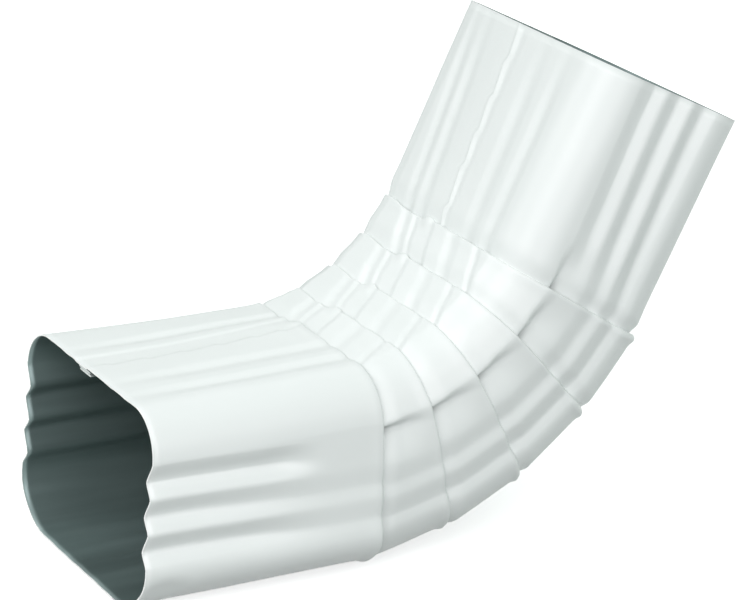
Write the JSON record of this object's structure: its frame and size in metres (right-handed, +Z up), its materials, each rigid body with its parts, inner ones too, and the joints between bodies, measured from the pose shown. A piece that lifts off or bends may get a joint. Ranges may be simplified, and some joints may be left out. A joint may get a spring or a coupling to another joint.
{
  "type": "downspout elbow",
  "caption": "Rectangular corrugated sheet-metal downspout elbow with a pleated bend and a lock seam; turns rainwater between two pipe runs.",
  "frame": {"origin": "centre of the outlet mouth, in the plane of its rim", "axes": "+X from the outlet mouth into the level lower leg, +Z up, +Y to the side that the lock seam lies nearer; the bend lies in the XZ plane"},
  "size_m": [0.2607, 0.11, 0.2011],
  "materials": {
    "enamel": "gloss"
  },
  "bodies": {
    "root": {"elbow": "enamel"}
  },
  "joints": []
}
